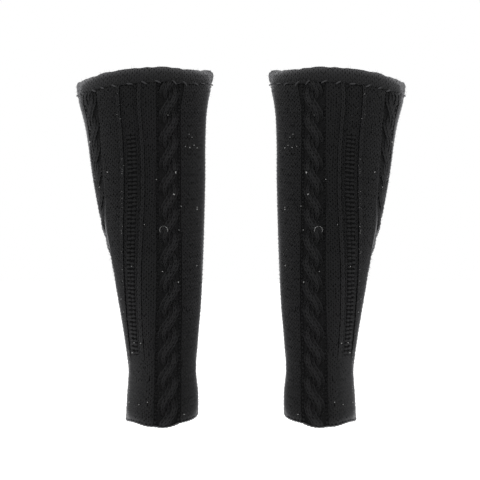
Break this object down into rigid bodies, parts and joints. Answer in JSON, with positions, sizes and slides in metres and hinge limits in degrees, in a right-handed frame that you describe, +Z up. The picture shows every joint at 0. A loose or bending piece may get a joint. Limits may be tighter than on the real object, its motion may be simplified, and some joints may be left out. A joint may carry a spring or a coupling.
{
  "type": "pair of cable-knit leg warmers",
  "caption": "Pair of black cable-knit leg warmers, open tubes tapering from calf to ankle, with rope cables, ladder stitch panels and a folded welt round each top.",
  "frame": {"origin": "centre of the left leg warmer's top opening, where the wearer's calf holds it", "axes": "+Z up along the leg, +X to the viewer's right as seen from the front, +Y to the back"},
  "size_m": [0.3284, 0.1293, 0.3469],
  "materials": {
    "knit": "soft matt black wool-blend yarn, cable-knit, with a fine halo of fibres",
    "welt": "the same black yarn in plain knit, folded double and caught down with overcast stitches"
  },
  "bodies": {
    "root": {"left_tube": "knit", "left_welt": "welt", "right_tube": "knit", "right_welt": "welt"}
  },
  "joints": []
}
